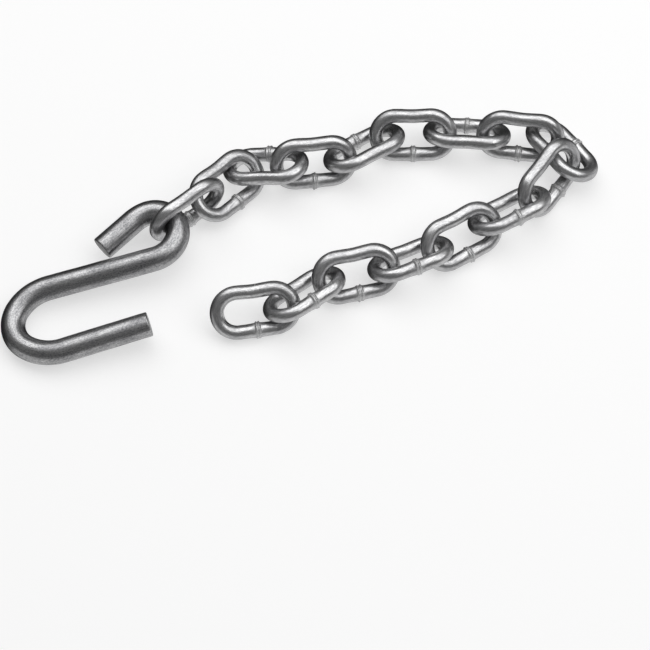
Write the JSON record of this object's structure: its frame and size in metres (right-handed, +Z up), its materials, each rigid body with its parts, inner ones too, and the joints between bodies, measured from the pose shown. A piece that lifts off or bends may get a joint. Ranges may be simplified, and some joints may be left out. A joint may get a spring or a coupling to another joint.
{
  "type": "trailer safety chain with s-hook",
  "caption": "Trailer safety chain: an open S-hook of round rod closed onto the first of a run of separate welded oval links, lying loosely folded on a level surface.",
  "frame": {"origin": "on the level surface, under the middle of the part's box", "axes": "+X along the chain's first run, away from the hook; +Z up from the surface"},
  "size_m": [0.232, 0.1086, 0.0217],
  "materials": {
    "hook_zinc_plated_steel": "bright zinc plate over cold-bent round rod, faint draw lines and handling wear",
    "link_zinc_plated_steel": "bright zinc plate over barrel-finished welded wire, slightly mottled"
  },
  "bodies": {
    "s_hook": {"s_hook": "hook_zinc_plated_steel"},
    "link_01": {"link_01": "link_zinc_plated_steel"},
    "link_02": {"link_02": "link_zinc_plated_steel"},
    "link_03": {"link_03": "link_zinc_plated_steel"},
    "link_04": {"link_04": "link_zinc_plated_steel"},
    "link_05": {"link_05": "link_zinc_plated_steel"},
    "link_06": {"link_06": "link_zinc_plated_steel"},
    "link_07": {"link_07": "link_zinc_plated_steel"},
    "link_08": {"link_08": "link_zinc_plated_steel"},
    "link_09": {"link_09": "link_zinc_plated_steel"},
    "link_10": {"link_10": "link_zinc_plated_steel"},
    "link_11": {"link_11": "link_zinc_plated_steel"},
    "link_12": {"link_12": "link_zinc_plated_steel"},
    "link_13": {"link_13": "link_zinc_plated_steel"},
    "link_14": {"link_14": "link_zinc_plated_steel"},
    "link_15": {"link_15": "link_zinc_plated_steel"},
    "link_16": {"link_16": "link_zinc_plated_steel"}
  },
  "joints": [
    {"name": "s_hook_to_link_01", "type": "hinge", "parent": "s_hook", "child": "link_01", "pos_m": [-0.05121, 0.00453, 0.01108], "axis": [0.6296, -0.776, 0.0378], "range_deg": [-90, 90]},
    {"name": "link_01_to_link_02", "type": "hinge", "parent": "link_01", "child": "link_02", "pos_m": [-0.04106, 0.01076, 0.01012], "axis": [0.5424, -0.6569, -0.5237], "range_deg": [-25, 0]},
    {"name": "link_02_to_link_03", "type": "hinge", "parent": "link_02", "child": "link_03", "pos_m": [-0.02975, 0.02787, 0.006], "axis": [0.2656, -0.85, 0.4549], "range_deg": [-10, 80]},
    {"name": "link_03_to_link_04", "type": "hinge", "parent": "link_03", "child": "link_04", "pos_m": [-0.0112, 0.02803, 0.01051], "axis": [-0.0809, 0.6235, 0.7776], "range_deg": [-55, 75]},
    {"name": "link_04_to_link_05", "type": "hinge", "parent": "link_04", "child": "link_05", "pos_m": [0.01779, 0.03358, 0.0091], "axis": [0.17, -0.6039, -0.7787], "range_deg": [-80, 80]},
    {"name": "link_05_to_link_06", "type": "hinge", "parent": "link_05", "child": "link_06", "pos_m": [0.03669, 0.04422, 0.00845], "axis": [-0.2255, 0.7942, -0.5642], "range_deg": [-80, 55]},
    {"name": "link_06_to_link_07", "type": "hinge", "parent": "link_06", "child": "link_07", "pos_m": [0.05764, 0.04369, 0.00847], "axis": [-0.0132, -0.7314, -0.6818], "range_deg": [-65, 70]},
    {"name": "link_07_to_link_08", "type": "hinge", "parent": "link_07", "child": "link_08", "pos_m": [0.07061, 0.04353, 0.01008], "axis": [0.0449, 0.513, 0.8572], "range_deg": [-70, 75]},
    {"name": "link_08_to_link_09", "type": "hinge", "parent": "link_08", "child": "link_09", "pos_m": [0.09984, 0.03984, 0.00854], "axis": [-0.2421, -0.4844, -0.8407], "range_deg": [-80, 30]},
    {"name": "link_09_to_link_10", "type": "hinge", "parent": "link_09", "child": "link_10", "pos_m": [0.10682, 0.02459, 0.01024], "axis": [-0.9351, 0.0037, 0.3543], "range_deg": [-40, 0]},
    {"name": "link_10_to_link_11", "type": "hinge", "parent": "link_10", "child": "link_11", "pos_m": [0.09242, 0.01778, 0.00732], "axis": [0.4837, -0.626, 0.6117], "range_deg": [-80, 80]},
    {"name": "link_11_to_link_12", "type": "hinge", "parent": "link_11", "child": "link_12", "pos_m": [0.07368, 0.00594, 0.00804], "axis": [-0.3867, 0.6866, 0.6156], "range_deg": [-60, 80]},
    {"name": "link_12_to_link_13", "type": "hinge", "parent": "link_12", "child": "link_13", "pos_m": [0.04788, -0.00855, 0.00833], "axis": [0.3505, -0.7064, -0.6149], "range_deg": [-80, 80]},
    {"name": "link_13_to_link_14", "type": "hinge", "parent": "link_13", "child": "link_14", "pos_m": [0.02704, -0.01623, 0.00731], "axis": [-0.2489, 0.7487, -0.6144], "range_deg": [-80, 80]},
    {"name": "link_14_to_link_15", "type": "hinge", "parent": "link_14", "child": "link_15", "pos_m": [0.00576, -0.02185, 0.0079], "axis": [0.3074, -0.7271, -0.6139], "range_deg": [-55, 80]},
    {"name": "link_15_to_link_16", "type": "hinge", "parent": "link_15", "child": "link_16", "pos_m": [-0.01286, -0.03339, 0.00741], "axis": [-0.3152, 0.7373, -0.5975], "range_deg": [-80, 55]}
  ]
}
